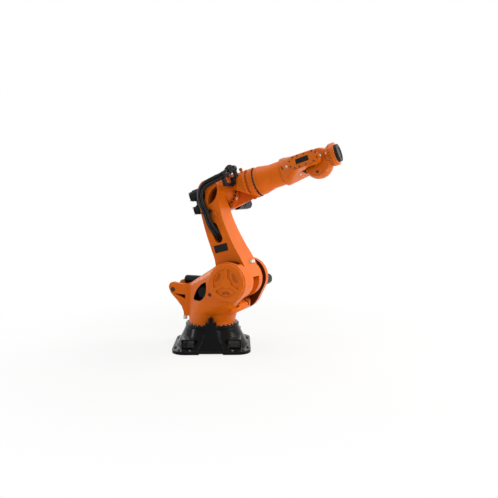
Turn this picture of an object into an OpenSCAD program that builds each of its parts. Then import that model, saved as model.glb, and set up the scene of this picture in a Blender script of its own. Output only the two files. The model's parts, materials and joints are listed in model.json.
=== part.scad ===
// Six-axis heavy-payload robot arm on a cast floor base, shown in a working pose.
// Millimetres. Origin: slewing axis at floor level. +Z up, the foot plate's sides along X and Y.

/* [Reach] */
// Height of the shoulder axis above the floor
shoulder_h = 1045; // [1030:5:1100]
// Shoulder axis in front of the slewing axis
shoulder_x = 500; // [480:5:530]
// Shoulder axis to elbow axis
link_len = 1300; // [1250:10:1400]
// Elbow axis to wrist axis, along the arm
arm_len = 1525; // [1500:5:1600]
// Drop of the arm's own axis below the elbow axis
arm_drop = 55; // [40:1:70]
// Wrist axis to the face of the tool flange
tool_len = 290; // [285:1:320]

/* [Rest pose] */
// Turn of the column about the slewing axis, degrees
turn_rest = -24; // [-45:1:45]
// Backward lean of the link arm from upright, degrees
lean_rest = 15; // [5:1:25]
// Upward pitch of the arm, degrees
pitch_rest = 18; // [5:1:30]
// Roll of the forearm about its own axis, degrees
roll_rest = -9; // [-60:1:60]

/* [Base] */
// Side of the square foot plate
plate_w = 1130; // [1100:10:1200]
// Thickness of the foot plate
plate_t = 45; // [40:1:55]
// Corner radius of the foot plate
plate_corner = 200; // [160:5:220]
// Height of the seat that carries the column
base_h = 365; // [355:5:380]
// Radius of the base cone at the plate
cone_foot_r = 525; // [510:5:540]
// Radius of the base cone at the top, and of the slewing ring
ring_r = 395; // [390:1:402]
// Height of the slewing ring
ring_h = 50; // [40:1:60]
// Clear width of a forklift pocket
pocket_w = 158; // [150:1:164]
// Clear height of a forklift pocket
pocket_h = 92; // [88:1:98]
// Pocket centre from the base's middle
pocket_x = 328; // [322:1:336]
// Wall round a forklift pocket
pocket_wall = 18; // [16:1:22]
// Floor of a forklift pocket above the foot plate
pocket_lift = 38; // [32:1:42]
// Diameter of a floor bolt hole
floor_hole_d = 27; // [22:1:33]
// Corner bolt hole from both edges of the plate
hole_corner = 105; // [95:1:115]
// Side bolt hole from the edge of the plate
hole_edge = 40; // [35:1:45]
// Side bolt hole from the end of its side
hole_along = 265; // [240:5:280]

/* [Column] */
// Radius of the column's round foot
column_r = 345; // [340:1:350]
// Height at which the round foot flares out to the cheeks
flare_h = 545; // [540:5:560]
// Height of the column's rear drum above the floor
drum_h = 940; // [900:10:960]
// Outer face of the near cheek, from the arm's middle plane
cheek_near = 560; // [540:5:580]
// Inner face of the near cheek, from the arm's middle plane
slot_near = 372; // [370:1:380]
// Inner face of the far cheek, from the arm's middle plane
slot_far = 178; // [160:1:190]
// Outer face of the far cheek, from the arm's middle plane
cheek_far = 277; // [270:1:300]
// Radius of both cheeks round the shoulder axis
cheek_r = 280; // [276:1:290]
// Radius of the round cover on the near cheek
cover_r = 270; // [255:1:275]
// Thickness of the round cover
cover_t = 32; // [28:1:36]
// Depth of the cover's three leaf recesses
leaf_depth = 14; // [8:1:20]

/* [Link arm] */
// Near face of the link arm, from the arm's middle plane
link_near = 360; // [355:1:366]
// Far face of the link arm at the shoulder
link_far = 80; // [60:1:100]
// Inner face of the link arm's elbow head, towards the near side
head_in = 140; // [135:1:150]
// Radius of the link arm's shoulder drum
link_drum_r = 272; // [265:1:274]
// Radius of the link arm's elbow head
head_r = 168; // [160:1:175]

/* [Arm] */
// Radius of the elbow housing
elbow_r = 250; // [240:5:255]
// Thickness of the elbow gear between link arm and arm
elbow_gear_t = 25; // [20:1:30]
// Far face of the elbow housing, from the arm's middle plane
elbow_far = 186; // [180:1:200]
// Radius of the arm's bolted flange
arm_flange_r = 218; // [212:1:224]
// Elbow axis to the start of the bolted flange
flange_at = 430; // [420:5:440]
// Elbow axis to the rolling joint of the forearm
roll_at = 600; // [590:5:620]
// Radius of the bright seal ring
seal_r = 190; // [186:1:196]
// Length of a wrist drive motor
motor_len = 275; // [250:5:300]

/* [Wrist] */
// Elbow axis to the start of the wrist body
wrist_at = 1000; // [980:5:1020]
// Radius of the wrist body
wrist_r = 195; // [190:1:200]
// Radius of the forearm tube at the wrist
tube_r = 172; // [165:1:180]
// Half width between the wrist's prongs
fork_half = 104; // [100:1:108]
// Thickness of a prong
prong_t = 146; // [140:1:150]
// Radius of a prong's round end
prong_r = 92; // [88:1:96]
// Radius of the swivel's crown round the bending axis
crown_r = 162; // [156:1:166]
// Radius of the dome under the swivel
dome_r = 198; // [192:1:204]
// Drop of the dome's middle below the bending axis
dome_drop = 62; // [56:1:68]
// Radius of the spin drive's housing
spin_r = 150; // [144:1:154]
// Radius of the tool flange
tool_r = 120; // [118:1:126]
// Thickness of the tool flange
tool_t = 40; // [36:1:44]
// Pitch circle of the tool flange's bolt holes
tool_pcd = 200; // [195:1:205]
// Diameter of a tool flange bolt hole
tool_hole_d = 14; // [12:0.5:16]
// Diameter of the tool flange's centring recess
tool_bore_d = 160; // [150:5:165]

/* [Hoses] */
// Radius of each hose
hose_r = 25; // [22:1:27]

/* [Hidden] */

$fn = 96;
// Sides of the rounds inside a blended casting
cast_fn = 64;
orange = "#e8711a";
black = "#1d1e20";
steel = "#8d9095";
white = "#d9d7d0";

// Gap between two faces that turn on each other
seat_gap = 0.5;
// Gap between two still pieces with curved faces
rest_gap = 0.3;
// Radial gap round a pin in its eye
fit_gap = 0.05;
// Room between moving pieces elsewhere
clear = 6;

base_seat = base_h - ring_h;
column_foot = base_h + seat_gap;
shoulder_at = [shoulder_x, shoulder_h];

// Frames of the moving bodies

module in_column() rotate([0, 0, turn_rest]) children();

module in_link() in_column() translate([shoulder_x, 0, shoulder_h]) rotate([0, -lean_rest, 0]) children();

module in_arm() in_link() translate([0, 0, link_len]) rotate([0, lean_rest - pitch_rest, 0]) children();

module in_wrist() in_arm() translate([0, 0, -arm_drop]) rotate([roll_rest, 0, 0]) children();

module in_swivel() in_wrist() translate([arm_len, 0, 0]) children();

// Shared shapes

// A side profile in X and Z, given thickness from y0 to y1
module across(y0, y1) translate([0, y1, 0]) rotate([90, 0, 0]) linear_extrude(y1 - y0) children();

// A round bar along Y
module bar_y(r, y0, y1) translate([0, y1, 0]) rotate([90, 0, 0]) cylinder(r = r, h = y1 - y0);

// A round bar along X
module bar_x(r, x0, x1) translate([x0, 0, 0]) rotate([0, 90, 0]) cylinder(r = r, h = x1 - x0);

// An eight-sided motor body along X, w across its flats
module octagon_x(w, x0, x1) translate([x0, 0, 0]) rotate([0, 90, 0]) rotate(22.5)
  cylinder(d = w / cos(22.5), h = x1 - x0, $fn = 8);

// An eight-sided motor body along Y
module octagon_y(w, y0, y1) rotate(90) octagon_x(w, y0, y1);

// Two circles joined by their outer tangents
module tangent_pair(p, r, q, s) {
  dir = atan2(q.y - p.y, q.x - p.x);
  lift = acos((r - s) / norm(q - p));
  translate(p) circle(r);
  translate(q) circle(s);
  polygon([for (a = [dir + lift, dir - lift]) p + (r - fit_gap) * [cos(a), sin(a)],
           for (a = [dir - lift, dir + lift]) q + (s - fit_gap) * [cos(a), sin(a)]]);
}

// A leaf with tips at p and q, bulging by a to the right of the way from p to q and by b to the left
module leaf(p, q, a, b) {
  half = norm(q - p) / 2;
  ra = (half * half + a * a) / (2 * a);
  rb = (half * half + b * b) / (2 * b);
  translate((p + q) / 2) rotate(atan2(q.y - p.y, q.x - p.x)) intersection() {
    translate([0, ra - a]) circle(ra);
    translate([0, b - rb]) circle(rb);
  }
}

module rounded_square(w, r) {
  half = w / 2 - r;
  square([w, w - 2 * r], center = true);
  square([w - 2 * r, w], center = true);
  for (x = [-half, half], y = [-half, half]) translate([x, y]) circle(r);
}

// Point at share u of the way along a smooth curve through the points p
function curve_at(p, u) = let (n = len(p) - 1, k = min(floor(u * n), n - 1), f = u * n - k,
  a = p[max(k - 1, 0)], b = p[k], c = p[k + 1], d = p[min(k + 2, n)])
  0.5 * (2 * b + (c - a) * f + (2 * a - 5 * b + 4 * c - d) * f * f + (3 * b - a - 3 * c + d) * f * f * f);

function curve(p, steps) = [for (i = [0 : steps]) curve_at(p, i / steps)];

// Base

tower_foot = 195;
tower_top = 78;
tower_h = 78;
tower_front = plate_w / 2 - 18;
tower_back = tower_front - 105;
pocket_floor = plate_t + pocket_lift;
pocket_face = plate_w / 2 - 115;
arch_w = 0.3 * plate_w;

function floor_spots() =
  let (half = plate_w / 2, c = half - hole_corner, e = half - hole_edge, s = half - hole_along)
  [for (x = [-1, 1], y = [-1, 1], p = [[c, c], [s, e], [e, s]]) [x * p.x, y * p.y]];

// Flared pillar on the near side of the base, with hollow curved flanks
module tower() {
  top = base_h + tower_h;
  rise = top - plate_t;
  flank = [for (k = [0 : 12]) let (u = k / 12)
    [tower_top + (tower_foot - tower_top) * pow(1 - u, 2.2), plate_t + rise * u]];
  mirrored = [for (k = [12 : -1 : 0]) [-flank[k].x, flank[k].y]];
  intersection() {
    across(-tower_front, -tower_back + 200) polygon(concat(flank, mirrored));
    translate([-tower_foot, 0, 0]) rotate([90, 0, 90]) linear_extrude(2 * tower_foot)
      polygon([[-tower_front, 0], [-tower_front + 30, top], [-tower_back, top], [-tower_back, base_seat],
               [-tower_back + 190, 0]]);
  }
}

// Hollow-flanked cone of the base, turned about the slewing axis
module base_cone() rotate_extrude()
  polygon(concat([[0, plate_t], [cone_foot_r, plate_t]],
    [for (k = [0 : 8]) let (u = k / 8)
      [ring_r + (cone_foot_r - ring_r) * pow(1 - u, 1.15), plate_t + 12 + (base_seat - plate_t - 12) * u]],
    [[0, base_seat]]));

module base_casting() color(black) difference() {
  union() {
    linear_extrude(plate_t) rounded_square(plate_w, plate_corner);
    base_cone();
    tower();
    for (x = [-pocket_x, pocket_x]) translate([x - pocket_w / 2 - pocket_wall, -pocket_face, 0])
      cube([pocket_w + 2 * pocket_wall, 2 * pocket_face, pocket_floor + pocket_h + pocket_wall]);
  }
  // shallow arch under the middle of each side, so the plate stands on its corners
  for (a = [0 : 90 : 270]) rotate(a) translate([-arch_w / 2, -plate_w / 2 - 1, -1]) cube([arch_w, 61, 15]);
  for (p = floor_spots()) translate([p.x, p.y, -1]) cylinder(d = floor_hole_d, h = plate_t + 2);
  for (x = [-pocket_x, pocket_x]) translate([x - pocket_w / 2, -plate_w, pocket_floor])
    cube([pocket_w, 2 * plate_w, pocket_h]);
}

module slew_ring() color(black) translate([0, 0, base_seat]) {
  cylinder(r = ring_r, h = ring_h * 0.7);
  cylinder(r = ring_r - 10, h = ring_h);
}

module turn_stop() color(black) translate([0, (-tower_front + 30 - tower_back) / 2, base_h + tower_h]) {
  cylinder(r = 22, h = 20);
  translate([0, 0, 42]) bar_y(36, -34, 34);
}

// Column

belly_r = 350;
belly_at = [0.7 * shoulder_x, flare_h + belly_r - 5];
lip_at = 0.225 * shoulder_x;
lip_r = 0.75 * shoulder_x;
lip_drop = 350;
// Middle of the flare's first stage, where the round foot starts to lean towards the near cheek
flare_lean = [56, -58];
foot_flare = 405;
pin_at = [-563, 840];
pin_r = 34;
balance_r = 92;
balance_drop = 40;
accumulator_r = 64;
accumulator_at = drum_h + 38;
bracket_in = 130;
bracket_t = 60;
shoulder_motor_at = shoulder_at + [190, -60];
shoulder_motor_w = 150;
cover_at = [shoulder_x, -cheek_near, shoulder_h];
window_depth = column_r - 110;
window_low = [-140, 744];
window_high = [156, 1030];
slew_motor_at = [35, 860];

module column_side() tangent_pair(shoulder_at, cheek_r + 5, belly_at, belly_r);

// Rear bracket that carries the balance cylinder's pin
module bracket_profile(slotted) difference() {
  union() {
    translate([pin_at.x + 8, pin_at.y + 36]) circle(74);
    polygon([[-555, 949], [-426, 931], [-259, drum_h], [-200, drum_h], [-200, 460], [-374, 460], [-384,
      520],
             [-414, 597], [-492, 683], [-591, 780], [-625, 850], [-620, 900]]);
  }
  translate(pin_at) circle(pin_r + fit_gap);
  if (slotted) polygon([[-540, 784], [-440, 774], [-352, 774], [-352, 706], [-440, 744]]);
}

// Room for the link arm between the cheeks, from its furthest lean back to its lowest reach forward
module link_slot() translate([shoulder_x, 0, shoulder_h]) {
  bar_y(link_drum_r + clear, -slot_near, slot_far);
  across(-slot_near, slot_far)
    polygon([[-195, -165], [-774, 524], [900, 524], [900, -700],
             [lip_at, -700], [lip_at, -lip_drop], [-79, -246]]);
}

module column_casting() color(orange) in_column() difference() {
  union() {
    translate([0, 0, column_foot]) cylinder(r = column_r, h = drum_h - column_foot);
    hull() {
      translate([0, 0, drum_h - 40]) cylinder(r = column_r - 2, h = 30, $fn = cast_fn);
      translate([flare_lean.x, flare_lean.y, flare_h]) cylinder(r = column_r - 2, h = 20, $fn = cast_fn);
      translate([shoulder_x, 0, shoulder_h]) rotate([90, 0, 0])
        cylinder(r = cheek_r - 2, h = cheek_near - 1, $fn = cast_fn);
    }
    hull() {
      translate([0, 0, foot_flare]) cylinder(r = column_r - 1, h = 10, $fn = cast_fn);
      translate([flare_lean.x, flare_lean.y, flare_h]) cylinder(r = column_r - 2, h = 20, $fn = cast_fn);
    }
    translate([shoulder_x, 0, shoulder_h]) bar_y(cheek_r, -cheek_near, -slot_near);
    across(slot_far, cheek_far) column_side();
    // tray between the cheeks, with a front lip rounded in plan
    intersection() {
      across(-slot_near + 40, slot_far + 1) column_side();
      translate([0.45 * shoulder_x, -42, column_foot]) cylinder(r = lip_r, h = drum_h - 60 - column_foot);
    }
    across(-bracket_in - bracket_t, -bracket_in) bracket_profile(true);
    across(bracket_in, bracket_in + bracket_t) bracket_profile(false);
  }
  link_slot();
  // notches in the front lip
  for (y = [-290, -60]) translate([shoulder_x, y, shoulder_h - lip_drop - 38]) cube([200, 50, 80]);
  translate([shoulder_motor_at.x, 0, shoulder_motor_at.y])
    bar_y(shoulder_motor_w * 0.6, cheek_far, cheek_far + 150);
  across(-cheek_near - 200, -window_depth) leaf(window_low, window_high, 130, 52);
  translate([0, 0, pin_at.y - balance_drop]) bar_x(balance_r + 4, -column_r - 100, pin_at.x + 300);
  translate([0, 0, accumulator_at]) bar_x(accumulator_r + fit_gap, -column_r - 200, -60 + clear);
}

// Round cover with a soft rim, three leaf recesses between spokes, and a row of slots in each
module shoulder_cover() color(orange) in_column() translate(cover_at) difference() {
  soft = cover_t - 4;
  spoke = 0.1 * cover_r;
  rotate([90, 0, 0]) rotate_extrude()
    polygon(concat([[0, 0], [cover_r, 0]],
      [for (a = [0 : 15 : 90]) [cover_r - soft + soft * cos(a), cover_t - soft + soft * sin(a)]],
      [[0, cover_t]]));
  for (k = [0 : 2]) {
    across(-cover_t - 1, -cover_t + leaf_depth) rotate(30 + 120 * k) difference() {
      intersection() {
        circle(0.72 * cover_r);
        polygon([[spoke, 0], [spoke + cover_r, 1.732 * cover_r], [spoke + cover_r, -1.732 * cover_r]]);
      }
      circle(0.27 * cover_r);
    }
    across(-cover_t - 1, -cover_t + leaf_depth + 7) rotate(30 + 120 * k)
      for (j = [-3 : 3]) translate([0.5 * cover_r + 1.2 * j * j, 19 * j])
        square([52 - 5 * abs(j), 9], center = true);
  }
}

module shoulder_gear() color(black) in_column() translate([shoulder_x, 0, shoulder_h])
  bar_y(0.85 * link_drum_r, link_far + seat_gap, slot_far);

module shoulder_motor() color(black) in_column()
  translate([shoulder_motor_at.x, cheek_far, shoulder_motor_at.y]) {
  bar_y(0.5 * shoulder_motor_w, 0, 30);
  octagon_y(shoulder_motor_w, 30, 210);
}

module slew_motor() color(black) in_column() translate([slew_motor_at.x, -window_depth, slew_motor_at.y]) {
  bar_y(84, -118, 0);
  bar_y(68, -132, -118);
}

module balance_pin() color(steel) in_column() translate([pin_at.x, 0, pin_at.y])
  bar_y(pin_r, -bracket_in - bracket_t - 8, bracket_in + bracket_t + 8);

module balance_cylinder() color(steel) in_column() translate([pin_at.x, 0, pin_at.y]) difference() {
  union() {
    bar_y(1.8 * pin_r, -1.5 * pin_r, 1.5 * pin_r);
    translate([0, 0, -balance_drop]) bar_x(balance_r, 40, 290);
  }
  bar_y(pin_r + fit_gap, -2 * pin_r, 2 * pin_r);
}

module balance_accumulator() color(black) in_column() translate([0, 0, accumulator_at]) {
  bar_x(accumulator_r, -425, -60);
  bar_x(accumulator_r - 12, -440, -425);
}

// Link arm

wide = link_drum_r / 272;
tall = link_len / 1300;
function sized(p) = [for (q = p) [q.x * wide, q.y * tall]];
link_front = curve(sized([[235, 110], [211, 238], [150, 450], [109, 638], [84, 800], [74, 930], [86, 1080],
  [108, 1200], [122, 1300]]), 40);
link_rear = curve(sized([[-200, 1300], [-224, 1150], [-233, 956], [-226, 718], [-207, 500], [-195, 348],
  [-212, 200], [-240, 80]]), 40);
head_at = [-40, link_len];
slot_w = 4.9 * hose_r;
slot_low = [-58 * wide, 625 * tall];
slot_high = [-92 * wide, 800 * tall];
slot_depth = 150;
buffer_r = 24;
buffer_at = [186 * wide, 205 * tall];
buffer_rows = [-102, -44];
clamp_t = 30;

module link_profile() {
  circle(link_drum_r);
  translate(head_at) circle(head_r);
  polygon(concat(link_front, link_rear));
}

module link_casting() color(orange) in_link() difference() {
  intersection() {
    across(-link_near, link_far + 10) link_profile();
    translate([-400, 0, 0]) rotate([90, 0, 90]) linear_extrude(800)
      polygon([[-link_near - 10, -400], [link_far, -400], [link_far, 330 * tall],
               [-5, link_len - 400], [-28, link_len - 270], [-head_in, link_len - 125],
               [-head_in, link_len + 400], [-link_near - 10, link_len + 400]]);
  }
  // hose slot
  across(-link_near - 1, -link_near + slot_depth) tangent_pair(slot_low, slot_w / 2, slot_high, slot_w / 2);
  // leaf openings in the elbow head
  across(-link_near - 1, -head_in - 25) leaf([-84, link_len - 176], [104, link_len + 40], 56, 56);
  across(-link_near - 1, -head_in - 25) leaf([-150, link_len - 125], [-95, link_len + 40], 20, 34);
  for (y = buffer_rows) translate([buffer_at.x, y, buffer_at.y]) bar_x(buffer_r + 3, 0, 120);
  // window between the drum's two walls
  across(-255, -40) difference() {
    polygon([[100, -15], [1.6 * link_drum_r, -15], [1.6 * link_drum_r, -1.6 * link_drum_r],
             [-200, -1.6 * link_drum_r], [-60, -130]]);
    circle(0.66 * link_drum_r);
  }
}

module link_buffers() color(white) in_link() for (y = buffer_rows) translate([buffer_at.x, y,
  buffer_at.y]) {
  bar_x(buffer_r - 6, 0, 30);
  bar_x(buffer_r, 30, 66);
}

module elbow_gear() color(black) in_link() translate([0, 0, link_len])
  bar_y(108, -head_in, -head_in + elbow_gear_t);

module hose_clamp_low() color(black) in_link() translate([-133 * wide, 0, 1030 * tall])
  across(-link_near - clamp_t, -link_near) square([6.2 * hose_r, 36], center = true);

// Arm

hub_face = -head_in + elbow_gear_t + seat_gap;
housing_at = flange_at - 100;
housing_drop = arm_drop - 10;
motor_plate = -290;
motors = [[125, 88, 168], [125, -128, 146], [286, -20, 146]];
elbow_motor_at = [80, -232];
elbow_motor_w = 150;
socket_at = [335, -130, 220];
socket_r = 34;
// Far edge of the flat that clears the link arm's neck when the arm folds
fold_y = 34;
hub_r = 253;

module junction_box_form() translate([282, -238, -8]) cube([56, 120, 104]);

// Bracket that reaches past the link arm's head and holds the hoses up
module clamp_high_form() translate([242, -link_near - clamp_t - 2 * hose_r, 0]) {
  translate([0, 0, -20]) cube([40, link_near - 60, 40]);
  translate([0, 0, 0]) cube([40, 2 * hose_r + clamp_t - clear, 84]);
}

module socket_form() translate(socket_at) {
  translate([0, 0, -160]) cylinder(r = socket_r, h = 160);
  sphere(r = 48);
  bar_y(44, -70, 0);
}

module eye_form() translate([flange_at - 25, -60, 100]) {
  cylinder(r = 16, h = 70);
  translate([0, 0, 84]) rotate([0, 0, 0]) bar_y(24, -12, 12);
}

// Side of the arm that the link arm folds against: everything below this line is taken off
module fold_room() let (front = flange_at + 160)
  polygon([[-300, -600], [-300, 380], [115, 52], [front, 136 - 0.727 * front], [front, -600]]);

// Side of the arm that the link arm's rear edge comes to when the arm swings over backwards
module back_room() polygon([[0, -60], [212, -60], [218, -36], [260, 109], [302, 300], [0, 300]]);

module arm_casting() color(orange) in_arm() difference() {
  union() {
    hull() {
      translate([0, elbow_far, -housing_drop]) rotate([90, 0, 0])
        cylinder(r = elbow_r, h = elbow_far + 4, $fn = cast_fn);
      translate([housing_at, 0, -arm_drop]) rotate([0, 90, 0])
        cylinder(r = arm_flange_r - 12, h = flange_at - housing_at, $fn = cast_fn);
    }
    hull() {
      translate([0, elbow_far, -housing_drop]) rotate([90, 0, 0])
        cylinder(r = 0.9 * elbow_r, h = 120, $fn = cast_fn);
      translate([motor_plate, 35, -210]) cube([12, 335, 390]);
    }
    // hub that meets the elbow gear, and its bolted rim
    translate([0, hub_face, 0]) rotate([-90, 0, 0]) cylinder(r1 = 108, r2 = hub_r - 34, h = -4 - hub_face);
    bar_y(hub_r, -22, -3);
  }
  // room for the link arm's head, and for its neck when the arm folds
  difference() {
    union() {
      bar_y(head_r + 94, -link_near - 40, -4);
      across(-link_near - 40, fold_y) fold_room();
      across(-link_near - 40, -4) back_room();
    }
    translate([0, hub_face, 0]) rotate([-90, 0, 0])
      cylinder(r1 = 108.5, r2 = hub_r - 33, h = -3 - hub_face);
    bar_y(hub_r + 0.5, -22.5, -2);
    across(-3.9, fold_y + 1) translate([0, -housing_drop]) circle(elbow_r);
  }
  junction_box_form();
  clamp_high_form();
  socket_form();
  eye_form();
  translate([elbow_motor_at.x, 0, elbow_motor_at.y])
    bar_y(0.62 * elbow_motor_w, elbow_far, elbow_far + 100);
}

module arm_flange() color(orange) in_arm() difference() {
  translate([0, 0, -arm_drop]) {
    bar_x(arm_flange_r, flange_at, flange_at + 40);
    bar_x(arm_flange_r - 24, flange_at + 40, flange_at + 75);
    bar_x(arm_flange_r - 4, flange_at + 75, roll_at - 24);
  }
  across(-2 * arm_flange_r, fold_y) fold_room();
}

module seal_ring() color(steel) in_arm() translate([0, 0, -arm_drop]) bar_x(seal_r, roll_at - 24, roll_at);

// A wrist drive: flange, eight-sided body and smaller end cap
module wrist_motor(k) color(black) in_arm() translate([motor_plate, motors[k].x, motors[k].y]) {
  w = motors[k].z;
  bar_x(0.48 * w, -24, 0);
  octagon_x(w, -motor_len + 50, -24);
  octagon_x(w - 26, -motor_len, -motor_len + 50);
}

module roll_motor() wrist_motor(0);

module bend_motor() wrist_motor(1);

module spin_motor() wrist_motor(2);

module elbow_motor() color(black) in_arm() translate([elbow_motor_at.x, elbow_far, elbow_motor_at.y]) {
  bar_y(0.54 * elbow_motor_w, 0, 150);
  bar_y(0.42 * elbow_motor_w, 150, 180);
  octagon_y(elbow_motor_w, 180, 420);
}

module junction_box() color(black) in_arm() difference() {
  junction_box_form();
  translate([socket_at.x, socket_at.y, -100]) cylinder(r = socket_r + rest_gap, h = 300);
}

module hose_clamp_high() color(black) in_arm() clamp_high_form();

module hose_socket() color(black) in_arm() socket_form();

module arm_eye() color(orange) in_arm() eye_form();

// Hoses from the link arm's slot round the elbow head to the arm

hose_y = -link_near - clamp_t - hose_r - rest_gap;
// Route in the link arm's side plane: forward, up from the shoulder, inward from the outer run,
// then the direction in that plane from the outer hose to the inner one
hose_low = [[-60, 640, 112, 1, 0.2], [-75, 720, 52, 1, 0.2], [-98, 800, 8, 1, 0.2], [-118, 900, 0, 1, 0.15],
  [-133, 1030, 0, 1, 0.15]];
hose_high = [[-160, -160, 0, 1, 0.1], [-158, -50, 0, 1, -0.15], [-115, 45, 0, 0.7, -0.7],
  [-20, 105, 0, 0.3, -0.95], [90, 128, 0, 0.1, -1], [190, 141, 0, 0.1, -1], [262, 158, 20, 0.2, -1],
  [305, 194, 84, 0.3, -1], [322, 232, 150, 0.4, -0.9], [322, 232, 206, 0.4, -0.9]];
hose_route = concat([for (p = hose_low) [p[0] * wide, p[1] * tall, p[2], p[3], p[4]]],
  [for (p = hose_high) [p[0], p[1] + link_len, p[2], p[3], p[4]]]);

function run_at(u) = let (p = curve_at(hose_route, u)) [p[0], hose_y + p[2], p[1]];

function hose_point(u, side) = let (p = curve_at(hose_route, u), w = [p[3], 0, p[4]],
    t = run_at(min(u + 0.005, 1)) - run_at(max(u - 0.005, 0)), d = t / norm(t), n = w - (w * d) * d)
  run_at(u) + n / norm(n) * side;

module swept_tube(points, r, sides) {
  n = len(points);
  rings = [for (i = [0 : n - 1])
    let (t = points[min(i + 1, n - 1)] - points[max(i - 1, 0)], d = t / norm(t),
      s = cross(d, [1, 0.3, 0.2]), e = s / norm(s), g = cross(e, d))
    for (k = [0 : sides - 1]) points[i] + r * (cos(360 * k / sides) * e + sin(360 * k / sides) * g)];
  walls = [for (i = [0 : n - 2], k = [0 : sides - 1]) let (m = (k + 1) % sides)
    [i * sides + k, i * sides + m, (i + 1) * sides + m, (i + 1) * sides + k]];
  ends = [[for (k = [sides - 1 : -1 : 0]) k], [for (k = [0 : sides - 1]) (n - 1) * sides + k]];
  polyhedron(rings, concat(walls, ends));
}

module hose(side) color(black) in_link()
  swept_tube([for (i = [0 : 44]) hose_point(i / 44, side * (hose_r + 0.5 * rest_gap))], hose_r, 10);

module hose_outer() hose(-1);

module hose_inner() hose(1);

// Forearm and wrist

root_r = arm_flange_r - 16;
root_len = 55;
cone_len = 150;
prong_out = fork_half + prong_t;
cover_plate = 14;
bend_max = 120;

module forearm_tube() color(orange) in_wrist() {
  bar_x(root_r, roll_at + seat_gap, roll_at + root_len);
  translate([roll_at + root_len, 0, 0]) rotate([0, 90, 0]) cylinder(r1 = root_r, r2 = tube_r, h = cone_len);
  bar_x(tube_r, roll_at + root_len + cone_len, wrist_at);
}

prong_at = wrist_at + 0.48 * (arm_len - wrist_at);
prong_end = arm_len - 20;
dome_at = [-24, -dome_drop];
fork_r = dome_r + norm(dome_at) + clear;
spin_from = 1.26 * prong_r;

module prong(y0) across(y0, y0 + prong_t) tangent_pair([prong_at, 0], prong_r + 6, [prong_end, 0], prong_r);

module wrist_casting() color(orange) in_wrist() difference() {
  union() {
    bar_x(wrist_r, wrist_at, wrist_at + 60);
    hull() {
      translate([wrist_at + 52, 0, 0]) rotate([0, 90, 0]) cylinder(r = wrist_r - 2, h = 7, $fn = cast_fn);
      translate([prong_at, prong_out - 2, 0]) rotate([90, 0, 0])
        cylinder(r = prong_r + 4, h = 2 * prong_out - 4, $fn = cast_fn);
    }
    prong(-prong_out);
    prong(fork_half);
  }
  // room for the swivel between the prongs, and for the spin drive at both ends of the bend
  translate([arm_len, 0, 0]) bar_y(fork_r, -fork_half, fork_half);
  for (b = [-bend_max, bend_max]) translate([arm_len, 0, 0]) rotate([0, b, 0])
    bar_x(spin_r + 8 + clear, spin_from - clear, tool_len);
}

module wrist_cover(y0) color(orange) in_wrist() across(y0, y0 + cover_plate)
  tangent_pair([prong_at, 0], prong_r - 5, [prong_end, 0], prong_r - 10);

module wrist_cover_near() wrist_cover(-prong_out - cover_plate);

module wrist_cover_far() wrist_cover(prong_out);

// A ball of radius r with its flanks cut flat, turned about an axis along Y
module flanked_ball(r, flank) rotate([90, 0, 0]) rotate_extrude() intersection() {
  circle(r);
  translate([0, -flank]) square([r, 2 * flank]);
}

module swivel_casting() color(orange) in_swivel() {
  flanked_ball(crown_r, fork_half - clear);
  translate([dome_at.x, 0, dome_at.y]) flanked_ball(dome_r, fork_half - clear);
  bar_y(0.7 * prong_r, -fork_half + seat_gap, fork_half - seat_gap);
}

module spin_housing() color(orange) in_swivel() difference() {
  union() {
    translate([spin_from, 0, 0]) rotate([0, 90, 0]) cylinder(r1 = spin_r - 26, r2 = spin_r, h = 56);
    bar_x(spin_r, spin_from + 55, tool_len - tool_t - seat_gap - 55);
    bar_x(spin_r + 8, tool_len - tool_t - seat_gap - 55, tool_len - tool_t - seat_gap);
  }
  flanked_ball(crown_r + rest_gap, fork_half - clear + rest_gap);
  translate([dome_at.x, 0, dome_at.y]) flanked_ball(dome_r + rest_gap, fork_half - clear + rest_gap);
}

module tool_flange() color(black) in_swivel() difference() {
  bar_x(tool_r, tool_len - tool_t, tool_len);
  for (k = [0 : 11]) rotate([30 * k, 0, 0]) translate([0, 0, tool_pcd / 2])
    bar_x(tool_hole_d / 2, tool_len - 24, tool_len + 1);
  bar_x(tool_bore_d / 2, tool_len - 8, tool_len + 1);
}

base_casting();
slew_ring();
turn_stop();
column_casting();
shoulder_cover();
shoulder_gear();
shoulder_motor();
slew_motor();
balance_cylinder();
balance_accumulator();
balance_pin();
link_casting();
link_buffers();
elbow_gear();
hose_clamp_low();
arm_casting();
arm_flange();
seal_ring();
roll_motor();
bend_motor();
spin_motor();
elbow_motor();
junction_box();
hose_clamp_high();
hose_socket();
arm_eye();
hose_outer();
hose_inner();
forearm_tube();
wrist_casting();
wrist_cover_near();
wrist_cover_far();
swivel_casting();
spin_housing();
tool_flange();
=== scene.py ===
# %% [markdown]
# # A six-axis robot arm
# The solids of the arm come from a CAD file and are fixed: they are loaded first, and nothing below
# moves or reshapes them. This lesson gives them their finishes and adds what a solid model leaves
# out: screws, plugs, plates, connectors and hoses.

# %% Load the solids
import json
import math

import bpy
from mathutils import Matrix, Vector


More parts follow.
